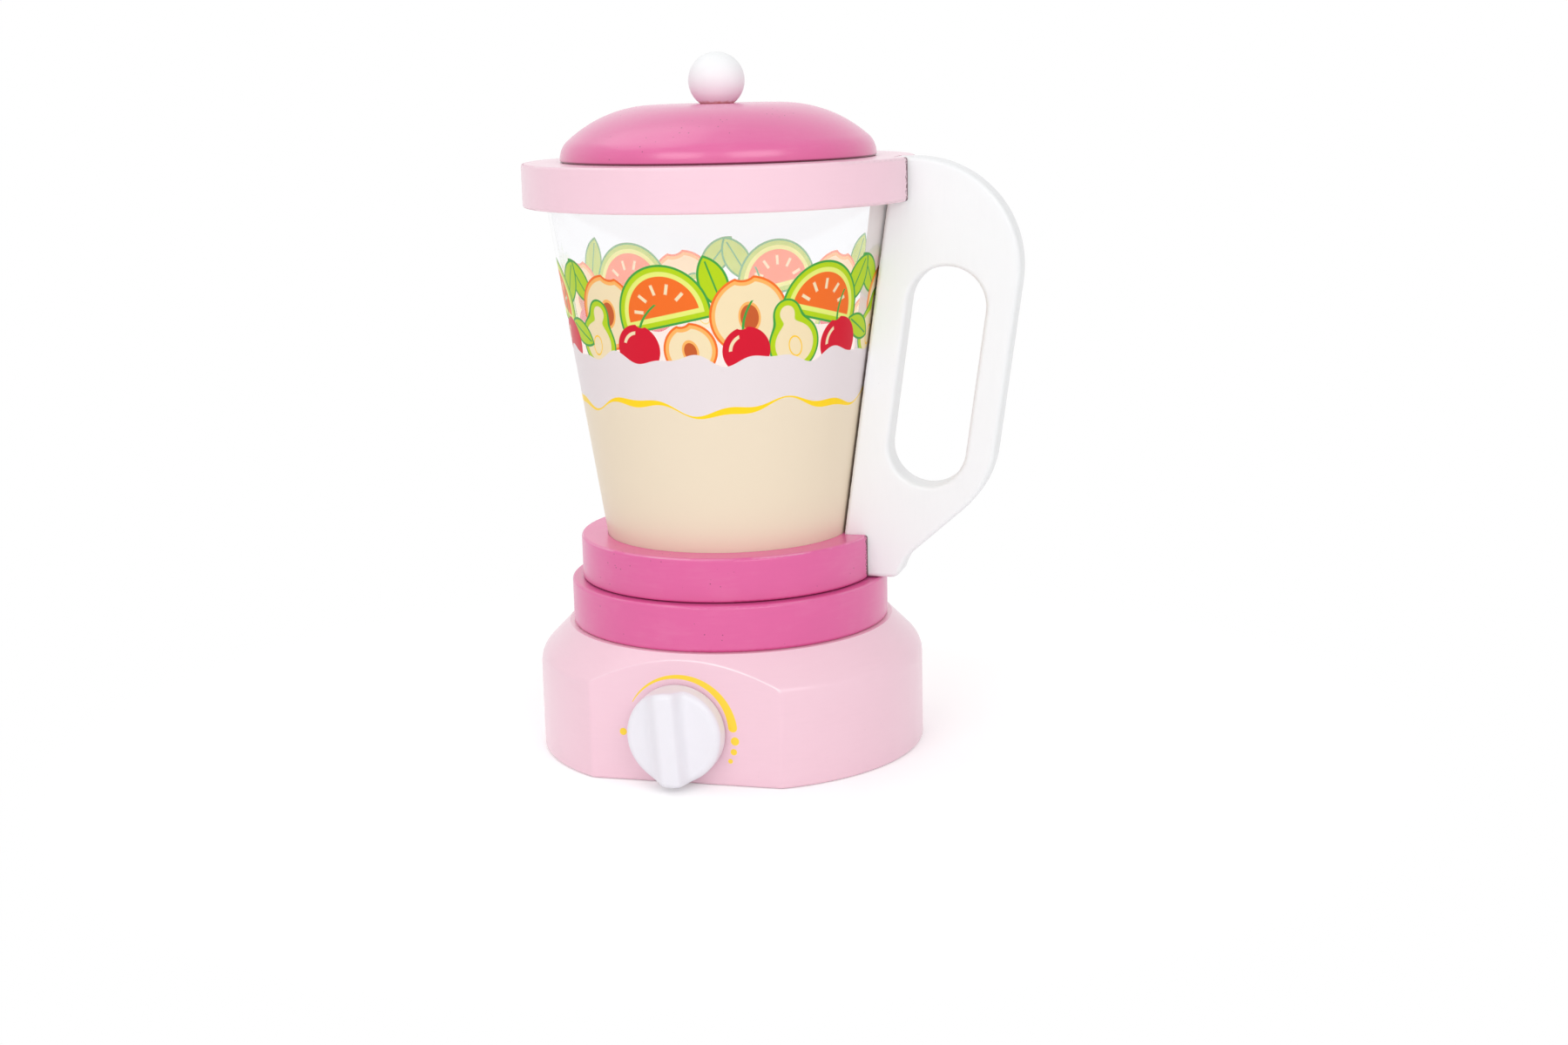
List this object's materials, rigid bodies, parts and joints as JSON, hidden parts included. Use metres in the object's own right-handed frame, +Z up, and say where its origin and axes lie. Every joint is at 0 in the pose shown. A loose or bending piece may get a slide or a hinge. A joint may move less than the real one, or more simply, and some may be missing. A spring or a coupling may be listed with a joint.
{
  "type": "toy jug blender",
  "caption": "Painted wooden toy jug blender: round base with a clicking knob, lift-off clear conical jug with collar, foot ring and side handle, and a lift-off domed lid with a ball grip.",
  "frame": {"origin": "on the axis of the turned pieces, at the underside of the base block", "axes": "+Z up along the axis of the turned pieces, -Y out of the front flat that carries the knob, +X along the handle"},
  "size_m": [0.178, 0.145, 0.2481],
  "materials": {
    "pale_pink_paint": "satin paint on wood",
    "deep_pink_paint": "satin paint on wood",
    "white_paint": "satin paint on wood",
    "bare_wood": "sanded, bare",
    "hardboard": "pressed board",
    "white_plastic": "moulded, glossy",
    "nylon": "moulded, matte",
    "clear_plastic": "clear sheet, printed",
    "steel": "zinc plated"
  },
  "bodies": {
    "base": {"base_block": "pale_pink_paint", "bottom_cover": "hardboard", "cover_screws": "steel", "base_plate": "deep_pink_paint", "centring_disc": "bare_wood", "centre_dowel": "bare_wood", "plate_screws": "steel", "axle_bush": "nylon", "click_spring": "steel", "spring_screws": "steel"},
    "knob": {"knob": "white_plastic", "knob_washer": "hardboard", "knob_axle": "nylon", "click_wheel": "nylon", "axle_washer": "steel", "axle_screw": "steel"},
    "jug": {"jug_ring": "deep_pink_paint", "jug_floor": "bare_wood", "jug_wall": "clear_plastic", "jug_collar": "pale_pink_paint", "handle": "white_paint", "handle_screws": "steel"},
    "lid": {"lid_dome": "deep_pink_paint", "lid_plug": "bare_wood", "lid_ball": "white_paint", "lid_dowel": "bare_wood"}
  },
  "joints": [
    {"name": "knob_turn", "type": "hinge", "parent": "base", "child": "knob", "pos_m": [-0.002, -0.061, 0.019], "axis": [0, -1, 0], "continuous": true, "deforming": ["click_spring"]},
    {"name": "jug_lift", "type": "slide", "parent": "base", "child": "jug", "axis": [0, 0, 1], "range_m": [0, 0.09]},
    {"name": "lid_lift", "type": "slide", "parent": "jug", "child": "lid", "axis": [0, 0, 1], "range_m": [0, 0.07]}
  ]
}
